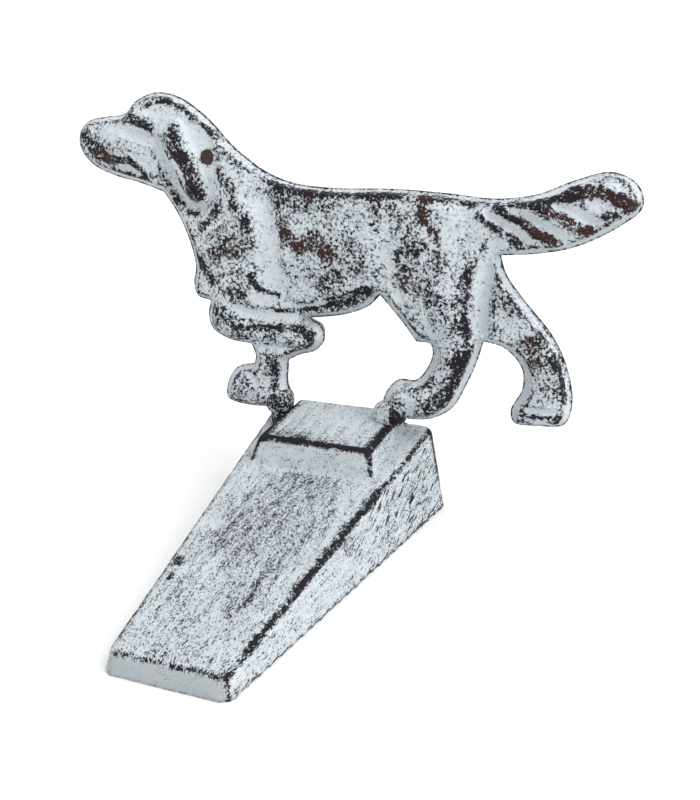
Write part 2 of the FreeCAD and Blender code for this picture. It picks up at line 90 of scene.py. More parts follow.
# Height of the casting's skin above the parting plane: a thin fin at the outline, a drafted side
# and then the face. Each stroke adds its rise along a path and fades out at its radius.
FIN_WIDTH = 0.4
FIN_HEIGHT = 0.35
DRAFT_WIDTH = 1.5
DRAFT_TO_NOSE = 1.3
DRAFT_TO_TOP = -0.8
DRAFT_FULLNESS = 0.8
FACE_HEIGHT = 3.5
STROKES = [
    # path, radius, rise
    ([(-57.0, 99.0), (-46.0, 100.0)], 11.0, 1.5),                                # skull
    ([(-71.5, 96.8), (-60.0, 97.4)], 7.0, 1.2),                                  # muzzle
    ([(-58.5, 103.8), (-51.5, 102.6)], 3.0, 0.9),                                # brow
    ([(-57.5, 100.6), (-52.5, 99.2)], 2.6, -1.0),                                # eye socket
    ([(-63.0, 92.6), (-58.0, 92.8), (-54.5, 90.4)], 2.0, 0.8),                   # upper lip
    ([(-63.0, 91.0), (-58.5, 90.6), (-56.0, 89.4)], 1.3, -0.8),                  # mouth
    ([(-54.0, 95.0), (-50.0, 92.0)], 6.0, 0.6),                                  # cheek
    ([(-43.5, 101.0), (-41.0, 95.0), (-38.3, 89.0), (-37.9, 85.4)], 3.4, 2.4),   # ear, rear fold
    ([(-46.3, 99.0), (-43.5, 92.0), (-40.8, 86.0)], 3.0, 1.2),                   # ear, flap
    # round the ear
    ([(-49.4, 98.0), (-46.9, 91.5), (-44.6, 86.0), (-41.5, 81.8), (-37.5, 81.2)], 2.2, -1.5),
    ([(-37.5, 101.0), (-34.0, 94.0), (-33.6, 87.0), (-36.0, 81.5)], 3.6, -0.9),  # behind the ear
    ([(-33.0, 90.0), (-25.0, 77.0)], 11.0, 1.5),                                 # neck
    ([(-30.0, 90.5), (-28.0, 86.5), (-26.0, 82.5)], 3.0, 0.4),
    ([(-36.5, 76.5), (-31.5, 80.5)], 2.6, 0.5),
    ([(-33.0, 71.0), (-29.0, 60.0)], 9.0, 1.5),                                  # breast
    ([(-24.0, 80.0), (-23.0, 68.0)], 7.0, 0.8),                                  # shoulder
    ([(-19.6, 82.0), (-17.0, 74.0), (-17.6, 68.0), (-15.4, 61.0)], 4.8, -1.0),   # behind shoulder
    ([(-22.5, 63.5), (-20.5, 60.0), (-15.0, 58.6)], 1.8, 0.5),                   # elbow
    ([(-6.0, 72.0), (14.0, 74.0)], 15.0, 1.9),                                   # ribs and flank
    ([(-14.0, 84.6), (30.0, 83.6)], 4.0, 0.7),                                   # back
    ([(26.5, 77.0), (30.5, 60.0)], 11.5, 2.0),                                   # haunch
    ([(15.5, 72.0), (17.5, 61.5)], 3.4, -0.6),                                   # flank fold
    ([(31.0, 60.0), (34.5, 50.0), (33.0, 40.0), (28.0, 33.5)], 5.6, 1.3),        # hock
    ([(19.5, 53.6), (22.5, 51.0), (25.0, 49.8)], 1.8, -1.2),                     # feather
    ([(17.5, 32.6), (28.0, 32.4)], 5.0, 1.1),                                    # near hind foot
    ([(44.2, 74.6), (41.4, 68.0), (40.4, 60.0), (41.2, 50.0)], 3.6, -1.7),       # between thighs
    ([(42.4, 70.0), (41.2, 61.0), (41.4, 51.0)], 1.4, -0.7),
    ([(48.0, 65.0), (56.0, 53.0), (60.0, 41.0), (59.0, 36.0)], 5.6, 0.8),        # far hind leg
    ([(52.0, 31.6), (61.5, 31.8)], 3.0, 0.6),                                    # far hind foot
    ([(52.0, 34.2), (61.0, 34.4)], 1.4, -0.7),
    ([(-32.5, 51.5), (-25.0, 48.0), (-9.0, 48.6), (-5.6, 47.4)], 4.8, 1.8),      # raised foreleg
    ([(-27.0, 54.0), (-22.0, 52.9), (-10.0, 53.2)], 2.2, -0.9),
    ([(-17.4, 41.0), (-17.6, 33.5), (-20.0, 30.0)], 4.2, 0.9),                   # standing foreleg
    ([(-29.0, 31.2), (-22.0, 30.6)], 4.8, 0.9),                                  # forefoot
    ([(-25.0, 36.0), (-22.4, 33.0)], 1.6, -0.7),
    ([(-9.5, 55.4), (-3.0, 56.4), (3.5, 58.4), (9.0, 60.6)], 1.7, -1.1),         # belly fringe
    ([(42.0, 80.5), (56.0, 82.0), (71.0, 87.6)], 7.0, 0.6),                      # tail
    ([(47.5, 86.0), (56.0, 86.4), (62.0, 89.0), (68.0, 90.0), (74.0, 88.0)], 2.3, 1.0),
    ([(43.5, 84.8), (50.0, 82.0), (53.5, 79.2), (58.5, 77.0)], 2.1, 1.0),
    ([(53.0, 85.0), (59.0, 83.4), (62.5, 81.2), (66.0, 80.2)], 2.2, 1.0),
    ([(39.5, 82.5), (44.0, 80.0), (49.0, 76.8)], 2.0, 0.8),
    ([(67.5, 84.0), (73.5, 84.6)], 1.6, 0.3),
    ([(47.0, 84.4), (53.0, 82.2), (58.5, 79.6), (62.0, 77.8)], 1.5, -0.9),
    ([(42.0, 82.6), (47.5, 80.2), (52.0, 77.0)], 1.4, -0.8),
    ([(57.5, 86.4), (63.0, 84.4), (68.0, 81.8)], 1.6, -0.9),
]

# Where the paint is rubbed through on the dog: path, radius and strength, which is added to a
# spread that covers the whole dog. A negative strength keeps the paint on.
DOG_WEAR = 0.23
WORN_SHARE = 0.75
FIN_WEAR = 0.62
DRAFT_COVER = 0.45
WORN = [
    # brow, crown and nape
    ([(-58.0, 104.6), (-54.5, 103.6), (-51.0, 102.2)], 2.2, 0.55),
    ([(-53.8, 106.4), (-50.8, 107.6)], 0.9, 0.9),
    ([(-49.0, 108.2), (-45.5, 108.4), (-42.0, 107.0)], 0.6, 1.0),
    ([(-40.0, 105.5), (-38.0, 104.3)], 0.6, 0.9),
    ([(-36.0, 102.5), (-33.0, 100.4), (-31.0, 98.4)], 0.7, 0.7),
    # ear
    ([(-44.6, 98.6), (-42.3, 94.8), (-39.6, 91.3), (-37.6, 88.0), (-37.2, 85.2)], 2.6, 1.15),
    ([(-42.8, 102.2), (-41.9, 97.5)], 1.8, 0.6),
    ([(-41.8, 95.0), (-39.4, 90.4), (-37.5, 86.4)], 1.5, 0.6),
    ([(-43.6, 87.6), (-41.9, 84.3), (-39.0, 82.8), (-36.8, 84.4)], 0.7, 1.0),
    # nose, lips and jaw
    ([(-72.0, 99.2), (-69.6, 96.0), (-66.5, 94.0), (-64.0, 92.8)], 2.2, 0.75),
    ([(-70.0, 97.4), (-62.0, 95.0)], 4.0, 0.3),
    ([(-68.5, 95.6), (-65.0, 93.6)], 3.2, 0.45),
    ([(-62.6, 93.2), (-58.0, 93.0), (-55.2, 91.2), (-54.0, 89.0)], 1.2, 0.8),
    ([(-64.6, 90.6), (-61.5, 89.4), (-57.5, 88.7), (-54.0, 88.4)], 0.6, 1.0),
    # throat, neck and shoulder
    ([(-52.5, 89.3), (-48.6, 88.6), (-46.5, 86.4), (-44.8, 83.6)], 1.0, 0.45),
    ([(-45.0, 84.0), (-41.5, 80.0)], 0.8, 0.4),
    ([(-30.4, 90.5), (-28.0, 86.5), (-26.2, 82.5)], 1.8, 0.45),
    ([(-36.2, 76.8), (-31.8, 80.4)], 1.4, 0.45),
    ([(-23.0, 77.5), (-22.0, 72.0), (-27.5, 69.5), (-33.0, 69.0)], 3.4, 0.34),
    # breast, elbow and forelegs
    ([(-38.0, 67.4), (-36.4, 64.0), (-34.6, 61.6)], 2.0, 0.65),
    ([(-28.6, 59.2), (-25.0, 58.0)], 1.5, 0.7),
    ([(-22.6, 63.4), (-20.5, 60.2), (-15.0, 58.8)], 1.0, 0.7),
    ([(-33.4, 54.6), (-30.6, 52.6), (-27.6, 50.0)], 2.6, 0.55),
    ([(-15.8, 39.0), (-16.4, 34.0), (-17.6, 31.5)], 1.9, 0.5),
    ([(-26.0, 49.4), (-16.0, 50.0), (-8.6, 50.4), (-5.6, 48.8)], 1.2, 0.75),
    ([(-27.0, 47.6), (-10.0, 46.4)], 3.0, 0.1),
    # ribs, belly and the edge of the flank
    ([(-12.6, 75.0), (-8.0, 72.8), (-3.5, 74.4), (-0.5, 71.6)], 3.2, 0.52),
    ([(-16.0, 54.2), (-13.1, 54.5), (-8.2, 55.3), (-3.3, 56.2), (1.1, 57.5)], 0.8, 1.4),
    ([(-0.5, 57.2), (4.9, 58.5), (7.7, 60.4), (10.0, 62.6)], 1.3, 1.8),
    ([(18.0, 55.6), (22.0, 53.4), (26.4, 51.0), (28.8, 47.2)], 0.6, 1.1),
    # back, croup, flank and neck
    ([(-17.0, 88.4), (-12.5, 87.0), (-7.5, 86.0), (-2.0, 86.2), (5.0, 86.0), (19.0, 86.6)],
     1.0, 0.4),
    ([(-16.0, 84.0), (8.0, 80.0), (22.0, 84.0)], 6.0, 0.16),
    ([(24.5, 85.8), (31.0, 85.6), (37.0, 85.0)], 1.0, 0.45),
    ([(25.0, 85.6), (25.5, 81.5), (28.5, 78.5), (29.6, 76.2)], 1.6, 0.62),
    ([(6.0, 72.0), (0.0, 64.0)], 8.0, 0.27),
    ([(-33.0, 88.0), (-26.0, 80.0), (-22.0, 76.0)], 7.0, 0.07),
    # haunch and near hind leg
    ([(24.0, 76.0), (26.0, 62.0)], 9.0, 0.28),
    ([(37.6, 72.0), (36.2, 64.0), (36.2, 58.0), (37.4, 51.0), (35.6, 45.0)], 2.4, 0.48),
    ([(15.0, 67.6), (19.5, 64.4), (27.0, 62.8)], 2.2, 0.3),
    ([(35.4, 45.0), (34.4, 39.5), (29.0, 32.5)], 2.8, 0.4),
    ([(18.5, 36.0), (23.0, 34.0)], 5.0, -0.16),
    ([(24.0, 36.0), (27.0, 33.0)], 2.0, 0.3),
    # far hind leg
    ([(45.4, 70.6), (50.5, 63.0), (55.6, 57.0), (59.6, 51.4), (62.0, 45.0), (63.4, 37.0)],
     1.3, 0.7),
    ([(52.6, 53.0), (55.0, 47.0)], 2.4, 0.5),
    ([(55.0, 52.0), (59.0, 40.0)], 4.0, 0.34),
    ([(53.0, 33.2), (59.0, 33.6), (62.4, 34.0)], 0.8, 0.9),
    # tail
    ([(47.5, 86.0), (56.0, 86.4), (62.0, 89.0)], 1.6, 0.75),
    ([(60.8, 88.4), (66.5, 89.0), (75.0, 87.0)], 2.4, 0.95),
    ([(71.0, 87.6), (75.4, 86.6)], 1.8, 0.7),
    ([(43.5, 84.8), (50.0, 82.0), (53.5, 79.2), (58.5, 77.0)], 1.4, 0.85),
    ([(53.0, 85.0), (59.0, 83.4), (62.5, 81.2), (66.0, 80.2)], 1.7, 0.8),
    ([(39.5, 82.5), (44.0, 80.0), (49.0, 76.8)], 1.2, 0.35),
    ([(68.5, 84.2), (72.0, 84.4)], 0.8, 0.35),
    # hollows and hidden edges that kept their paint
    ([(-19.6, 82.0), (-17.0, 74.0), (-17.6, 68.0), (-15.4, 61.0)], 4.2, -0.28),
    ([(44.2, 74.6), (41.4, 68.0), (40.6, 60.0), (41.2, 50.0)], 2.6, -0.5),
    ([(-36.5, 99.0), (-33.8, 94.0), (-33.6, 86.0)], 3.0, -0.3),
    ([(-68.0, 101.5), (-60.0, 100.0), (-50.0, 97.0), (-50.0, 90.0)], 3.6, -0.25),
    ([(-52.0, 106.0), (-45.0, 104.5), (-38.0, 99.0)], 4.0, -0.2),
    ([(-21.0, 57.0), (-14.0, 56.0)], 3.0, -0.25),
    # broad areas: chest, ribs, tail, far hind leg and head
    ([(-34.0, 82.0), (-30.0, 72.0), (-27.0, 62.0)], 9.0, 0.30),
    ([(-12.0, 80.0), (14.0, 68.0)], 12.0, 0.08),
    ([(46.0, 81.0), (74.0, 88.0)], 7.0, -0.18),
    ([(52.0, 58.0), (60.0, 40.0), (56.0, 32.0)], 6.0, -0.16),
    ([(-70.0, 98.0), (-45.0, 104.0)], 9.0, -0.12),
]

# Where the ground under the paint is brown instead of near black: path and radius.
BROWN = [
    ([(-12.0, 74.6), (-6.0, 73.0), (-0.5, 72.0)], 6.0),
    ([(25.0, 85.6), (26.0, 81.0), (29.6, 76.2)], 5.0),
    ([(52.6, 53.0), (54.5, 47.0)], 4.0),
    ([(66.0, 89.0), (74.0, 87.0)], 4.0),
    ([(57.0, 84.0), (66.0, 80.2)], 3.5),
    ([(52.0, 80.6), (58.5, 77.0)], 3.0),
    ([(-27.0, 72.0), (-33.0, 66.0)], 3.0),
    ([(18.0, 66.0), (24.0, 63.0)], 4.0),
    ([(-68.0, 94.8), (-65.0, 93.4)], 2.6),
]

# Spacing of the plan's points: along the outline, in rings inside it, then a grid of triangles.
# A ring's point is kept where it is nearly its full inset from the outline.
EDGE_STEP = 0.55
INSETS = (0.28, 0.45, 0.8, 1.2, 1.6, 2.1)
RING_CLEARANCE = 0.85
GRID_STEP = 0.55
GRID_MARGIN = 0.3

# The round seat of the neck rivet, with two close rings of points round it.
HOLE_RADIUS = 1.95
HOLE_COUNT = 28
HOLE_RINGS = (0.18, 0.42)
HOLE_MARGIN = 0.6


def smooth_path(points, step):
    """Points a step apart on a smooth curve through the given ones, the last one left out."""
    points = [np.array(point, float) for point in points]
    ends = [2 * points[0] - points[1]] + points + [2 * points[-1] - points[-2]]
    path = []
    for before, start, end, after in zip(ends, ends[1:], ends[2:], ends[3:]):
        knots = [0.0]
        for here, there in ((before, start), (start, end), (end, after)):
            knots.append(knots[-1] + math.sqrt(np.linalg.norm(there - here)))
        t0, t1, t2, t3 = knots
        count = max(1, round(np.linalg.norm(end - start) / step))
        for t in np.linspace(t1, t2, count, endpoint=False):
            a = ((t1 - t) * before + (t - t0) * start) / (t1 - t0)
            b = ((t2 - t) * start + (t - t1) * end) / (t2 - t1)
            c = ((t3 - t) * end + (t - t2) * after) / (t3 - t2)
            ab = ((t2 - t) * a + (t - t0) * b) / (t2 - t0)
            bc = ((t3 - t) * b + (t - t1) * c) / (t3 - t1)
            path.append(((t2 - t) * ab + (t - t1) * bc) / (t2 - t1))
    return path


def distance(spots, path):
    """Distance of each spot from an open run of straight pieces."""
    path = np.array(path, float)
    best = np.full(len(spots), np.inf)
    for start, end in zip(path[:-1], path[1:]):
        along = end - start
        length = max(along @ along, 1e-12)
        share = np.clip((spots - start) @ along / length, 0, 1)
        best = np.minimum(best, ((spots - start - share[:, None] * along) ** 2).sum(1))
    return np.sqrt(best)


def nearest(spots, loop):
    """Distance of each spot from a closed loop, and the direction to the loop's nearest point."""
    ends = np.roll(loop, -1, axis=0)
    best = np.full(len(spots), np.inf)
    towards = np.zeros_like(spots)
    for start, end in zip(loop, ends):
        along = end - start
        share = np.clip((spots - start) @ along / (along @ along), 0, 1)
        gap = start + share[:, None] * along - spots
        reach = (gap ** 2).sum(1)
        closer = reach < best
        best[closer] = reach[closer]
        towards[closer] = gap[closer]
    best = np.sqrt(best)
    return best, towards / np.maximum(best, 1e-6)[:, None]


def draft_width(outward):
    """Width of the drafted side: broad where it faces the nose's way, narrow along the top."""
    return (DRAFT_WIDTH + DRAFT_TO_NOSE * np.clip(-outward[:, 0], 0, 1)
            + DRAFT_TO_TOP * np.clip(outward[:, 1], 0, 1))


def fade(distances, radius):
    """1 on a stroke's path, falling smoothly to 0 at its radius."""
    return np.clip(1 - (distances / radius) ** 2, 0, 1) ** 1.5


def ramp(values, low, high):
    """A smooth step from 0 at low to 1 at high."""
    share = np.clip((values - low) / (high - low), 0, 1)
    return share * share * (3 - 2 * share)


def inside(spots, loop):
    """Which spots a closed loop holds, by counting crossings."""
    loop = np.array(loop)
    odd = np.zeros(len(spots), bool)
    for (x0, z0), (x1, z1) in zip(loop, np.roll(loop, -1, axis=0)):
        if z0 == z1:
            continue
        crosses = (spots[:, 1] > min(z0, z1)) & (spots[:, 1] <= max(z0, z1))
        odd ^= crosses & (spots[:, 0] < x0 + (spots[:, 1] - z0) * (x1 - x0) / (z1 - z0))
    return odd


def outline_loop():
    """The dog's outline as one closed loop of points."""
    return np.array([point for run in OUTLINE for point in smooth_path(run, EDGE_STEP)])


def height(spots, edge, outward):
    """Height of the dog's skin above the parting plane at each spot."""
    draft = draft_width(outward)
    drafted = ramp(edge, FIN_WIDTH, draft + FIN_WIDTH)
    skin = FIN_HEIGHT + (FACE_HEIGHT - FIN_HEIGHT) * drafted ** DRAFT_FULLNESS
    hold = ramp(edge, FIN_WIDTH, 2.0 * draft)
    rise = np.zeros(len(spots))
    for path, radius, amount in STROKES:
        rise += amount * fade(distance(spots, path), radius)
    return skin + rise * hold


def circle(centre, radius, count):
    """A loop of points round a centre."""
    turns = np.arange(count) * 2 * math.pi / count
    return np.stack([centre[0] + radius * np.cos(turns), centre[1] + radius * np.sin(turns)], 1)


def dog_plan():
    """The dog in plan: points, triangles with the rivet's seat left open, outline and skin."""
    loop = outline_loop()
    closed = np.vstack([loop, loop[:1]])
    hole = circle(RIVET, HOLE_RADIUS, HOLE_COUNT)
    tangent = np.roll(loop, -1, axis=0) - np.roll(loop, 1, axis=0)
    inward = np.stack([tangent[:, 1], -tangent[:, 0]], 1)
    inward /= np.linalg.norm(inward, axis=1)[:, None]
    layers = []
    for inset in INSETS:
        ring = loop + inward * inset
        clear = distance(ring, closed) > RING_CLEARANCE * inset
        layers.append(ring[clear & inside(ring, loop)])
    low, high = loop.min(0), loop.max(0)
    rows = np.arange(low[1], high[1], GRID_STEP * math.sqrt(3) / 2)
    columns = np.arange(low[0], high[0], GRID_STEP)
    grid = np.array([(x + (row % 2) * GRID_STEP / 2, z) for row, z in enumerate(rows)
                     for x in columns])
    grid = grid[inside(grid, loop)]
    grid = grid[distance(grid, closed) > INSETS[-1] + GRID_MARGIN]
    spots = np.vstack(layers + [grid])
    reach = np.linalg.norm(spots - RIVET, axis=1)
    spots = spots[reach > HOLE_RADIUS + HOLE_MARGIN]
    rims = [circle(RIVET, HOLE_RADIUS + extra, HOLE_COUNT) for extra in HOLE_RINGS]
    spots = np.vstack([loop, hole, *rims, spots])
    faces = triangles(spots, len(loop))
    return spots, faces, loop, height(spots, *nearest(spots, loop))


def triangles(spots, loop_count):
    """Triangles inside the outline, without the ones that would close the rivet's seat."""
    loop = list(range(loop_count))
    hole = list(range(loop_count, loop_count + HOLE_COUNT))
    edges = [(a, b) for ring in (loop, hole) for a, b in zip(ring, ring[1:] + ring[:1])]
    found = delaunay_2d_cdt([Vector(spot) for spot in spots], edges, [loop], 1, 1e-5)
    if len(found[0]) != len(spots):
        raise RuntimeError("two plan points coincide")
    faces = np.array(found[2])
    on_rim = (faces >= loop_count) & (faces < loop_count + HOLE_COUNT)
    return faces[~on_rim.all(1)]


def neighbour_mean(values, edges, rounds):
    """Values averaged with their neighbours' a number of times."""
    count = np.zeros(len(values))
    np.add.at(count, edges[:, 0], 1)
    np.add.at(count, edges[:, 1], 1)
    count = np.maximum(count, 1).reshape((-1,) + (1,) * (values.ndim - 1))
    for _ in range(rounds):
        total = np.zeros_like(values)
        np.add.at(total, edges[:, 0], values[edges[:, 1]])
        np.add.at(total, edges[:, 1], values[edges[:, 0]])
        values = 0.5 * values + 0.5 * total / count
    return values


def new_piece(name, vertices, faces):
    """A mesh object from millimetre points, with outward normals and smooth shading."""
    mesh = bpy.data.meshes.new(name)
    mesh.from_pydata((np.array(vertices) * MM).tolist(), [], [list(map(int, f)) for f in faces])
    mesh.update()
    work = bmesh.new()
    work.from_mesh(mesh)
    bmesh.ops.recalc_face_normals(work, faces=work.faces)
    work.to_mesh(mesh)
    work.free()
    piece = bpy.data.objects.new(name, mesh)
    bpy.context.scene.collection.objects.link(piece)
    mesh.shade_smooth()
    return piece


def keep_values(piece, name, values):
    """Store one number per vertex for the paint to read."""
    attribute = piece.data.attributes.new(name, "FLOAT", "POINT")
    attribute.data.foreach_set("value", np.asarray(values, np.float32))


def worn_on_dog(spots, edge, outward):
    """How far the dog's paint is rubbed through: the ground shows from about a half upwards."""
    wear = np.full(len(spots), DOG_WEAR)
    for path, radius, strength in WORN:
        wear += WORN_SHARE * strength * fade(distance(spots, path), radius)
    draft = draft_width(outward)
    side = ramp(edge, FIN_WIDTH, FIN_WIDTH + 0.3) * (1 - ramp(edge / draft, 0.7, 1.1))
    wear -= DRAFT_COVER * side
    return np.where(edge < FIN_WIDTH * 0.8, FIN_WEAR, wear)


def relief_piece(name, facing):
    """One half of the dog: relief skin, thin wall at the fin and flat parting face."""
    spots, faces, loop, skin = PLAN
    rim_count = len(loop) + HOLE_COUNT
    relief = np.stack([spots[:, 0], PARTING_Y + facing * skin, spots[:, 1]], 1)
    flat_spots = spots[:rim_count]
    flat = np.stack([flat_spots[:, 0], np.full(rim_count, PARTING_Y), flat_spots[:, 1]], 1)
    flat_faces = triangles(flat_spots, len(loop)) + len(relief)
    rings = (range(len(loop)), range(len(loop), rim_count))
    walls = [(a, b, b + len(relief), a + len(relief)) for ring in rings
             for a, b in zip(ring, list(ring)[1:] + [ring[0]])]
    return new_piece(name, np.vstack([relief, flat]), list(faces) + list(flat_faces) + walls)


# ---------------------------------------------------------------------------------------------
# Materials
# ---------------------------------------------------------------------------------------------
class Nodes:
    """A short way to add and join a material's shader nodes."""

    def __init__(self, name):
        self.material = bpy.data.materials.new(name)
        self.material.use_nodes = True
        self.tree = self.material.node_tree
        self.shader = self.tree.nodes["Principled BSDF"]

    def add(self, kind, settings=None, **inputs):
        """A new node; an input's name has underscores for its spaces."""
        node = self.tree.nodes.new(kind)
        for name, value in (settings or {}).items():
            setattr(node, name, value)
        for name, value in inputs.items():
            self.feed(node, name.replace("_", " "), value)
        return node

    def feed(self, node, name, value):
        """Join another node's output to an input, or set the input to a constant."""
        socket = node.inputs[int(name)] if name.isdigit() else node.inputs[name]
        if isinstance(value, bpy.types.NodeSocket):
            self.tree.links.new(value, socket)
        else:
            socket.default_value = value

    def math(self, operation, *values):
        """The result of one math operation."""
        node = self.add("ShaderNodeMath", {"operation": operation})
        for index, value in enumerate(values):
            self.feed(node, str(index), value)
        return node.outputs[0]

    def blend(self, share, first, second):
        """A colour from the first to the second."""
        node = self.add("ShaderNodeMix", {"data_type": "RGBA"})
        for index, value in ((0, share), (6, first), (7, second)):
            self.feed(node, str(index), value)
        return node.outputs[2]

    def spread(self, value, low, high, to_low=0.0, to_high=1.0):
        """A smooth step between two numbers as the value goes from low to high."""
        node = self.add("ShaderNodeMapRange", {"interpolation_type": "SMOOTHSTEP"})
        for index, number in enumerate((value, low, high, to_low, to_high)):
            self.feed(node, str(index), number)
        return node.outputs[0]

    def noise(self, place, scale, detail=4.0, rough=0.55, stretch=(1, 1, 1)):
        """Noise at a place; a stretch below 1 draws it out along that axis."""
        mapped = self.add("ShaderNodeMapping", Vector=place, Scale=stretch)
        node = self.add("ShaderNodeTexNoise", Vector=mapped.outputs[0], Scale=scale,
                        Detail=detail, Roughness=rough)
        return node.outputs[0]

    def attribute(self, name):
        """A number that the mesh carries, or 0 where it has none of that name."""
        return self.add("ShaderNodeAttribute", {"attribute_name": name}).outputs["Fac"]

    def scratches(self, place):
        """Noise drawn out along the wedge's side, rising towards its heel."""
        mapped = self.add("ShaderNodeMapping", {"vector_type": "TEXTURE"}, Vector=place,
                          Rotation=(SCRATCH_RISE, 0, 0), Scale=(1, SCRATCH_STRETCH, 1))
        node = self.add("ShaderNodeTexNoise", Vector=mapped.outputs[0], Scale=SCRATCH_SCALE,
                        Detail=3.0, Roughness=0.6)
        return node.outputs[0]


# Colours of the paint where it is clean or thin, its painted shade, and the ground under it.
FIGURE_WHITE = (0.575, 0.626, 0.656, 1)
WEDGE_WHITE = (0.520, 0.566, 0.594, 1)
PAINT_SHADE = (0.250, 0.275, 0.310, 1)
PAINTED_SHADE_GREY = (0.352, 0.384, 0.404, 1)
GROUND_DARK = (0.009, 0.007, 0.012, 1)
GROUND_BROWN = (0.038, 0.015, 0.012, 1)
CLOUDED = 0.92
# The ground shows as the level of wear passes between the first two; paint thins over the others.
BARE_FROM, BARE_TO = 0.43, 0.57
THIN_FROM, THIN_TO = -0.15, 0.50
# Scales of the noises that vary the paint, as lumps per metre, and how drawn out streaks are.
PATCH_SCALE = 240
CLOUD_SCALE = 90
STREAK_SCALE = 900
STREAK_STRETCH = (1, 0.08, 1)
# Height in metres of the paint's broken edges and flecks.
PAINT_RELIEF = 0.00022

# Scratches on the wedge's sides: how steeply they rise, and how long and fine they are.
SCRATCH_RISE = math.radians(24)
SCRATCH_STRETCH = 6
SCRATCH_SCALE = 1300


def worn_paint(name, white, scale, contrast, stretch, patchiness, streakiness):
    """White paint over a dark ground, broken through into flecks where the mesh is worn.

    The flecks have a scale, contrast and stretch; patches and lengthwise streaks vary them.
    """
    n = Nodes(name)
    clouded = tuple(CLOUDED * channel for channel in white[:3]) + (1,)
    place = n.add("ShaderNodeTexCoord").outputs["Object"]
    wear, brown, painted_shade = n.attribute("wear"), n.attribute("brown"), n.attribute("painted_shade")
    speckle = n.noise(place, scale, 5.0, 0.74, stretch)
    patches = n.noise(place, PATCH_SCALE, 3.0, 0.55)
    streaks = n.noise(place, STREAK_SCALE, 3.0, 0.6, STREAK_STRETCH)
    grain = n.math("MULTIPLY", n.math("SUBTRACT", speckle, 0.5), contrast)
    shift = n.math("ADD", n.math("MULTIPLY", n.math("SUBTRACT", patches, 0.5), patchiness),
                   n.math("MULTIPLY", n.math("SUBTRACT", streaks, 0.5), streakiness))
    scratches = n.math("MULTIPLY", n.attribute("scratch"),
                       n.spread(n.scratches(place), 0.56, 0.60))
    level = n.math("ADD", n.math("ADD", wear, scratches), n.math("ADD", grain, shift))
    bare = n.spread(level, BARE_FROM, BARE_TO)
    thin = n.spread(level, THIN_FROM, THIN_TO)
    cloud = n.noise(place, CLOUD_SCALE, 2.0, 0.5)
    clean = n.blend(n.spread(cloud, 0.35, 0.7), white, clouded)
    # Painted shade: the clean paint turns grey where the mesh asks for painted shade.
    shaded_paint = n.blend(painted_shade, clean, PAINTED_SHADE_GREY)
    paint = n.blend(n.math("MULTIPLY", thin, 0.55), shaded_paint, PAINT_SHADE)
    rusty = n.math("MAXIMUM", n.math("MULTIPLY", brown, 0.75),
                   n.spread(patches, 0.62, 0.75, 0.0, 0.35))
    ground = n.blend(rusty, GROUND_DARK, GROUND_BROWN)
    n.feed(n.shader, "Base Color", n.blend(bare, paint, ground))
    n.feed(n.shader, "Roughness", n.spread(bare, 0.0, 1.0, 0.66, 0.58))
    n.feed(n.shader, "Specular IOR Level", 0.15)
    relief = n.math("ADD", n.math("MULTIPLY", n.math("SUBTRACT", 1.0, bare), 0.6),
                    n.math("MULTIPLY", speckle, 0.5))
    bump = n.add("ShaderNodeBump", Strength=0.45, Distance=PAINT_RELIEF, Height=relief)
    n.feed(n.shader, "Normal", bump.outputs[0])
    return n.material


def plain_metal(name, colour, tint, rough, metallic, scale):
    """Bare metal with a mottled colour and a fine grain."""
    n = Nodes(name)
    place = n.add("ShaderNodeTexCoord").outputs["Object"]
    mottle = n.noise(place, scale, 4.0, 0.6)
    n.feed(n.shader, "Base Color", n.blend(n.spread(mottle, 0.35, 0.65), colour, tint))
    n.feed(n.shader, "Roughness", n.spread(mottle, 0.3, 0.7, rough, rough + 0.2))
    n.feed(n.shader, "Metallic", metallic)
    bump = n.add("ShaderNodeBump", Strength=0.4, Distance=0.0001, Height=mottle)
    n.feed(n.shader, "Normal", bump.outputs[0])
    return n.material


FIGURE_PAINT = worn_paint("figure_paint", FIGURE_WHITE, 1250, 3.6, (1, 1, 1), 1.2, 0.0)
WEDGE_PAINT = worn_paint("wedge_paint", WEDGE_WHITE, 2900, 4.2, (1, 0.4, 1), 0.3, 1.3)
RUST = plain_metal("bare_rivet", (0.055, 0.024, 0.018, 1), (0.032, 0.015, 0.013, 1),
                   0.6, 0.2, 900)
STEEL = plain_metal("screw_steel", (0.40, 0.40, 0.42, 1), (0.27, 0.26, 0.26, 1),
                    0.35, 1.0, 700)


# ---------------------------------------------------------------------------------------------
# Foot lugs, the dog's halves, wedge casting, rivet and screws
# ---------------------------------------------------------------------------------------------
# Each lug's blobs: middle x, middle z, width, height, front y and back y.
LUGS = {
    "fore": [(-16.1, 28.2, 7.2, 7.2, 39.2, 47.4), (-15.6, 24.4, 5.8, 8.4, 40.2, 46.4)],
    "hind": [(16.6, 28.5, 9.0, 6.8, 39.2, 47.4)],
}
LUG_BOXINESS = 0.75
LUG_CLEARANCE = 0.1


def lug_tools(growth=0.0):
    """The foot lugs' rounded blobs through the parting plane, as closed meshes."""
    tools = []
    for middle_x, middle_z, width, tall, front_y, back_y in LUGS["fore"] + LUGS["hind"]:
        ball = bmesh.new()
        bmesh.ops.create_icosphere(ball, subdivisions=4, radius=1)
        points = np.array([vertex.co for vertex in ball.verts])
        faces = [[vertex.index for vertex in face.verts] for face in ball.faces]
        ball.free()
        points = np.sign(points) * np.abs(points) ** LUG_BOXINESS
        reach = np.array((width, back_y - front_y, tall)) / 2 + growth
        centre = np.array((middle_x, (back_y + front_y) / 2, middle_z))
        tools.append(new_piece("lug_tool", points * reach + centre, faces))
    return tools


def evaluated(piece):
    """A new mesh with the piece's modifiers applied."""
    graph = bpy.context.evaluated_depsgraph_get()
    return bpy.data.meshes.new_from_object(piece.evaluated_get(graph))


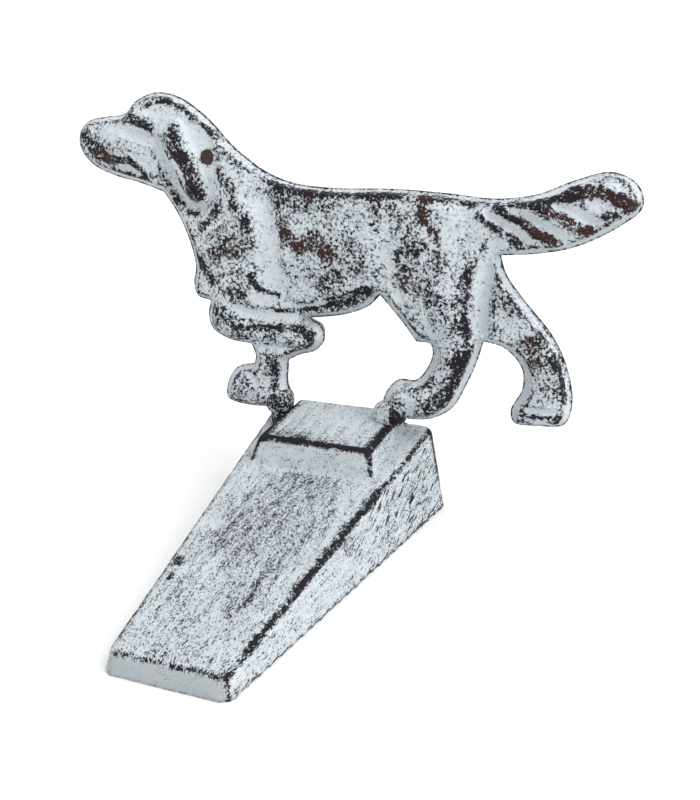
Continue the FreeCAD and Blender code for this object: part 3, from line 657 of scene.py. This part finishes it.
def combine(piece, tools, operation):
    """Add the tools to a piece or take them from it, and remove them."""
    for tool in tools:
        step = piece.modifiers.new("combine", "BOOLEAN")
        step.operation = operation
        step.solver = "EXACT"
        step.object = tool
    bpy.context.view_layer.update()
    mesh = evaluated(piece)
    piece.modifiers.clear()
    piece.data = mesh
    for tool in tools:
        bpy.data.objects.remove(tool)


def points_of(piece):
    """The piece's vertices in millimetres, and its edges."""
    mesh = piece.data
    points = np.empty(len(mesh.vertices) * 3)
    mesh.vertices.foreach_get("co", points)
    edges = np.empty(len(mesh.edges) * 2, int)
    mesh.edges.foreach_get("vertices", edges)
    return points.reshape(-1, 3) / MM, edges.reshape(-1, 2)


def normals_of(piece):
    """The piece's vertex normals."""
    normals = np.empty(len(piece.data.vertices) * 3)
    piece.data.vertices.foreach_get("normal", normals)
    return normals.reshape(-1, 3)


def set_points(piece, points):
    """Move the piece's vertices to millimetre points."""
    piece.data.vertices.foreach_set("co", (points * MM).ravel())
    piece.data.update()


def bulge(points, edges, normals, rounds):
    """How far each vertex stands out of its surroundings: edges positive, grooves negative."""
    return ((points - neighbour_mean(points, edges, rounds)) * normals).sum(1)


def ripple(points, scale, seed):
    """Smooth noise between -1 and 1 at each point; scale is the size of a lump in millimetres."""
    offset = Vector((17.3 * seed, 5.1 * seed, 11.7 * seed))
    return np.array([noise.noise(Vector(point) / scale + offset) for point in points])


# Wear of the foot lugs: the fore lug all over, the hind lug on its right half.
FORE_LUG_WEAR = 0.64
HIND_LUG_WEAR = 0.18
HIND_LUG_EXTRA = 0.66
PARTING_WEAR = 0.6
WEAR_FLOOR, WEAR_CEILING = -0.15, 0.8
# A lug's points lie within its outline and this margin, and at least this far off the dog's skin.
LUG_MARGIN = 0.1
LUG_OFF_SKIN = 0.08
# Lumps of the cast surface: height, size and seed.
DOG_LUMPS = ((0.22, 6.5, 5), (0.12, 2.6, 1), (0.06, 1.1, 2))
WEDGE_LUMPS = ((0.10, 5.0, 3), (0.05, 1.8, 4))


def on_lugs(spots, depth, skin):
    """Which points belong to a foot lug: within its outline and off the dog's own skin."""
    found = np.zeros(len(spots), bool)
    for middle_x, middle_z, width, tall, *_ in LUGS["fore"] + LUGS["hind"]:
        found |= ((np.abs(spots[:, 0] - middle_x) < width / 2 + LUG_MARGIN)
                  & (np.abs(spots[:, 1] - middle_z) < tall / 2 + LUG_MARGIN)
                  & (np.abs(depth - skin) > LUG_OFF_SKIN))
    return found


def lug_wear(spots):
    """Wear of the foot lugs at each spot."""
    hind_middle = LUGS["hind"][0][0]
    right = ramp(spots[:, 0], hind_middle + 0.4, hind_middle + 1.6)
    return np.where(spots[:, 0] < 0, FORE_LUG_WEAR, HIND_LUG_WEAR + HIND_LUG_EXTRA * right)


def make_dog_half(name, node, facing):
    """Relief, lugs or their notches, cast texture, and the wear, brown ground and painted shade
    that the paint reads.
    """
    piece = relief_piece(name, facing)
    if facing < 0:
        combine(piece, lug_tools(), "UNION")
    else:
        combine(piece, lug_tools(LUG_CLEARANCE), "DIFFERENCE")
    piece.data.shade_smooth()
    points, edges = points_of(piece)
    spots = points[:, [0, 2]]
    loop = outline_loop()
    edge, outward = nearest(spots, loop)
    edge = np.where(inside(spots, loop), edge, 0)
    depth = facing * (points[:, 1] - PARTING_Y)
    normals = normals_of(piece)
    fine = bulge(points, edges, normals, 2)
    broad = bulge(points, edges, normals, 24)

    wear = worn_on_dog(spots, edge, outward)
    wear += np.clip(fine * 4, -0.2, 0.25) + np.clip(broad * 0.4, -0.3, 0.1)
    wear = np.clip(wear, WEAR_FLOOR, WEAR_CEILING)
    wear = np.where(on_lugs(spots, depth, height(spots, edge, outward)), lug_wear(spots), wear)
    wear = np.where(depth < 0.02, PARTING_WEAR, wear)
    brown = np.zeros(len(points))
    for path, radius in BROWN:
        brown = np.maximum(brown, fade(distance(spots, path), radius))
    # Painted shade in the hollows and on the drafted sides that face down or towards the nose.
    shade = np.clip(0.7 - outward[:, 0] * 0.5 - outward[:, 1], 0, 1)
    drafted = 1 - ramp(edge / draft_width(outward), 0.7, 1.2)
    keep_values(piece, "wear", wear)
    keep_values(piece, "brown", brown)
    keep_values(piece, "painted_shade", np.clip(-broad * 0.3, 0, 0.3) + 0.5 * shade * drafted)

    face = (depth > 1.2) & (edge > 0.9)
    lumps = sum(tall * ripple(points, size, seed) for tall, size, seed in DOG_LUMPS)
    set_points(piece, points + normals * (lumps * face)[:, None])
    piece.data.materials.append(FIGURE_PAINT)
    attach(piece, "root")
    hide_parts(node)


# The wedge's middle plane, tip and sloping top, and the shallow pit in its right side.
CENTRE_X = 2.3
TIP_Y = -52.5
TIP_HEIGHT = 5.1
TOP_SLOPE = 0.1733
PIT = np.array((22.9, -1.2, 10.7))
# Size of the voxels, and rounds of smoothing for the rim on the floor and for the rest.
VOXEL = 0.55
RIM_ROUNDS = 4
WEDGE_ROUNDS = 12

# Where the top of the wedge is speckled: path (x, y) seen from above, radius and strength, which
# is added to a spread that covers the whole wedge.
WEDGE_WEAR = 0.07
TOP_WORN = [
    # front of the saddle's top
    ([(-12.6, 25.4), (-3.0, 24.8)], 5.0, 0.34),
    ([(-3.0, 24.4), (16.0, 24.4)], 3.0, 0.16),
    # the sloping top: all of it, its middle, streaks along it and a paler band near the tip
    ([(2.3, -46.0), (2.3, 18.0)], 22.0, 0.20),
    ([(-2.0, -10.0), (2.0, 12.0)], 15.0, 0.15),
    ([(8.0, -34.0), (14.0, 4.0)], 4.0, 0.12),
    ([(-6.0, -34.0), (-8.0, 8.0)], 2.5, 0.12),
    ([(-8.0, -20.0), (12.0, -46.0)], 6.0, -0.08),
    ([(9.8, -32.9), (8.5, -15.8)], 1.4, 0.18),
    ([(-7.4, -46.5), (-7.3, -24.5)], 1.0, 0.14),
    # a spot near the tip and two blotches by the left edge
    ([(10.0, -47.2), (10.4, -47.8)], 1.1, 0.45),
    ([(-12.2, -20.8), (-11.7, -22.2)], 1.7, 0.9),
    ([(-11.0, -26.2), (-10.6, -27.6)], 1.1, 0.7),
]
# Dark bands where the upper edges are rubbed hardest, given in the same way. They reach down the
# rounded edges and are broken up raggedly.
RAGGEDNESS = 0.9
EDGE_WORN = [
    ([(-13.0, 23.0), (-12.8, 44.0)], 3.0, 0.7),                                  # saddle, left
    ([(17.4, 23.2), (17.2, 41.0)], 2.2, 0.5),                                    # saddle, right
    ([(-13.0, 23.2), (17.6, 23.2)], 1.5, 0.4),                                   # saddle, front
    ([(18.6, -22.0), (20.0, -6.0), (21.4, 10.0), (22.2, 17.0)], 2.2, 0.5),       # long right edge
    ([(15.4, -50.4), (18.4, -24.0)], 1.5, 0.22),
    ([(-10.9, -51.5), (15.3, -51.1)], 0.9, 0.45),                                # tip
]


def wedge_piece():
    """A copy of the wedge casting, remeshed evenly so that it can be smoothed."""
    piece = bpy.data.objects.new("wedge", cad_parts["wedge_casting"].data.copy())
    bpy.context.scene.collection.objects.link(piece)
    piece.data.materials.clear()
    work = bmesh.new()
    work.from_mesh(piece.data)
    bmesh.ops.remove_doubles(work, verts=work.verts, dist=1e-6)
    work.to_mesh(piece.data)
    work.free()
    voxels = piece.modifiers.new("voxels", "REMESH")
    voxels.mode = "VOXEL"
    voxels.voxel_size = VOXEL * MM
    bpy.context.view_layer.update()
    mesh = evaluated(piece)
    piece.modifiers.clear()
    piece.data = mesh
    return piece


def worn_on_wedge(points, normals, fine, above, tip, side):
    """How far the wedge's paint is rubbed through: the ground shows from about a half upwards."""
    y, z = points[:, 1], points[:, 2]
    plan = points[:, :2]
    right, back, up = normals.T
    wear = np.full(len(points), WEDGE_WEAR)
    top = ramp(up, 0.8, 0.95)
    for path, radius, strength in TOP_WORN:
        wear += top * strength * fade(distance(plan, path), radius)
    ragged = 1 + RAGGEDNESS * ripple(points, 1.2, 7)
    for path, radius, strength in EDGE_WORN:
        wear += ramp(up, 0.3, 0.6) * strength * ragged * fade(distance(plan, path), radius)
    wear += side * (0.04 + 0.10 * ramp(y, -20, 40) * ramp(19 - z, 0, 9))
    # Every edge is rubbed a little, most on the right and on the saddle, least at the tip.
    corner = ramp(right, 0.15, 0.5) + ramp(above, 0.6, 1.2)
    edged = (1 - 0.5 * tip) * np.clip(fine - 0.05, 0, 0.2) * (2.4 + 1.2 * np.clip(corner, 0, 1))
    edged += 0.25 * ramp(fine, 0.03, 0.09) * ramp(above, 0.6, 1.2)
    wear += edged * ragged
    # The tip's right corner, the tip's clean front, the pit's rim and the heel's right corner.
    wear += 0.55 * tip * fade(np.abs(right + back), 0.35) * ramp(right, 0.4, 0.6)
    wear -= 0.18 * ramp(-back, 0.6, 0.9) * tip
    wear += 0.3 * fade(np.abs(np.linalg.norm(points - PIT, axis=1) - 2.3), 0.8)
    wear += 0.7 * fade(np.abs(y - 49.6), 1.8) * ramp(right, 0.2, 0.6) * ramp(z, 5, 14)
    return wear


def make_wedge():
    """The wedge casting: softened edges, cast texture, and the wear, painted shade and scratches
    that the paint reads.
    """
    piece = wedge_piece()
    sharp, edges = points_of(piece)
    rim = neighbour_mean(sharp, edges, RIM_ROUNDS)
    body = neighbour_mean(rim, edges, WEDGE_ROUNDS)
    points = rim + (body - rim) * ramp(sharp[:, 2], 0.4, 3.0)[:, None]
    set_points(piece, points)
    piece.data.shade_smooth()
    normals = normals_of(piece)
    fine = bulge(sharp, edges, normals, 14)
    x, y, z = points.T
    right, back = normals[:, 0], normals[:, 1]
    above = z - (TIP_HEIGHT + (y - TIP_Y) * TOP_SLOPE)
    tip = 1 - ramp(y, -50, -40)
    side = ramp(np.abs(right), 0.7, 0.9) * (right * (x - CENTRE_X) > 0)
    front = ramp(-back, 0.6, 0.9)
    pit_shadow = fade(np.linalg.norm(points - PIT, axis=1), 2.2)

    keep_values(piece, "wear", worn_on_wedge(points, normals, fine, above, tip, side))
    keep_values(piece, "brown", np.zeros(len(points)))
    # Painted shade in the hollows, in the pit and on faces that look to the tip, most at its front.
    keep_values(piece, "painted_shade", np.clip(-fine * 2.0, 0, 0.6) + 0.8 * pit_shadow
                + front * (0.4 + 0.6 * tip))
    keep_values(piece, "scratch",
                side * (0.1 + 0.9 * ramp(y, -10, 25)) * (1 - ramp(above, 0, 0.6)))

    lumps = sum(tall * ripple(points, size, seed) for tall, size, seed in WEDGE_LUMPS)
    lifted = points + normals * lumps[:, None]
    lifted[:, 2] = np.maximum(lifted[:, 2], 0)
    set_points(piece, lifted)
    piece.data.materials.append(WEDGE_PAINT)
    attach(piece, "root")
    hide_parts("wedge_casting")


PLAN = dog_plan()
make_dog_half("dog_front", "dog_front_half", -1)
make_dog_half("dog_back", "dog_back_half", 1)
make_wedge()
for node, material in (("neck_rivet", RUST), ("fore_foot_screw", STEEL),
                       ("hind_foot_screw", STEEL)):
    for material_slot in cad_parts[node].material_slots:
        material_slot.material = material

# ---------------------------------------------------------------------------------------------
# Floor, light and camera
# ---------------------------------------------------------------------------------------------
FLOOR_REACH = 4000
FLOOR_Z = -0.05
# The key light's heading from -Y towards +X, its height and its angular size, in degrees.
KEY_HEADING, KEY_HEIGHT, KEY_SIZE = 74, 46, 50
KEY_STRENGTH = 2.2


def key_light():
    """A broad, distant white light from high on the right."""
    lamp = bpy.data.lights.new("key", "SUN")
    lamp.energy = KEY_STRENGTH
    lamp.angle = math.radians(KEY_SIZE)
    heading, rise = math.radians(KEY_HEADING), math.radians(KEY_HEIGHT)
    towards = -Vector((math.sin(heading) * math.cos(rise), -math.cos(heading) * math.cos(rise),
                       math.sin(rise)))
    rig = bpy.data.objects.new("key", lamp)
    rig.rotation_euler = towards.to_track_quat("-Z", "Y").to_euler()
    bpy.context.scene.collection.objects.link(rig)


def studio():
    """A pale floor under a white sky, and the key light."""
    corners = [(-FLOOR_REACH, -FLOOR_REACH), (FLOOR_REACH, -FLOOR_REACH),
               (FLOOR_REACH, FLOOR_REACH), (-FLOOR_REACH, FLOOR_REACH)]
    floor = new_piece("floor", [(x, y, FLOOR_Z) for x, y in corners], [(0, 1, 2, 3)])
    n = Nodes("floor_white")
    place = n.add("ShaderNodeTexCoord").outputs["Object"]
    mottle = n.noise(place, 3.0, 2.0, 0.5)
    n.feed(n.shader, "Base Color", n.blend(mottle, (0.81, 0.81, 0.81, 1), (0.83, 0.83, 0.83, 1)))
    n.feed(n.shader, "Roughness", 0.9)
    n.feed(n.shader, "Specular IOR Level", 0.0)
    floor.data.materials.append(n.material)
    world = bpy.data.worlds.new("studio")
    world.use_nodes = True
    sky = world.node_tree.nodes["Background"]
    sky.inputs["Color"].default_value = (1, 1, 1, 1)
    sky.inputs["Strength"].default_value = 1.0
    bpy.context.scene.world = world
    key_light()


# The photograph's viewpoint: place in millimetres, then heading, pitch and roll in degrees.
CAMERA_PLACE = (94.757, -191.351, 114.373)
CAMERA_TURN = (-20.957, -18.410, 0.04)
LENS_MM, SENSOR_MM = 43.56, 36
CLIP_START = 0.01


def camera():
    """The camera at the photograph's viewpoint."""
    yaw, pitch, roll = map(math.radians, CAMERA_TURN)
    lens = bpy.data.cameras.new("camera")
    lens.sensor_width = SENSOR_MM
    lens.lens = LENS_MM
    lens.clip_start = CLIP_START
    eye = bpy.data.objects.new("camera", lens)
    forward = Vector((math.sin(yaw) * math.cos(pitch), math.cos(yaw) * math.cos(pitch),
                      math.sin(pitch)))
    turn = forward.to_track_quat("-Z", "Y").to_matrix() @ Matrix.Rotation(roll, 3, "Z")
    eye.matrix_world = Matrix.Translation(Vector(CAMERA_PLACE) * MM) @ turn.to_4x4()
    bpy.context.scene.collection.objects.link(eye)
    bpy.context.scene.camera = eye


studio()
camera()
bpy.context.scene.view_settings.view_transform = "Standard"
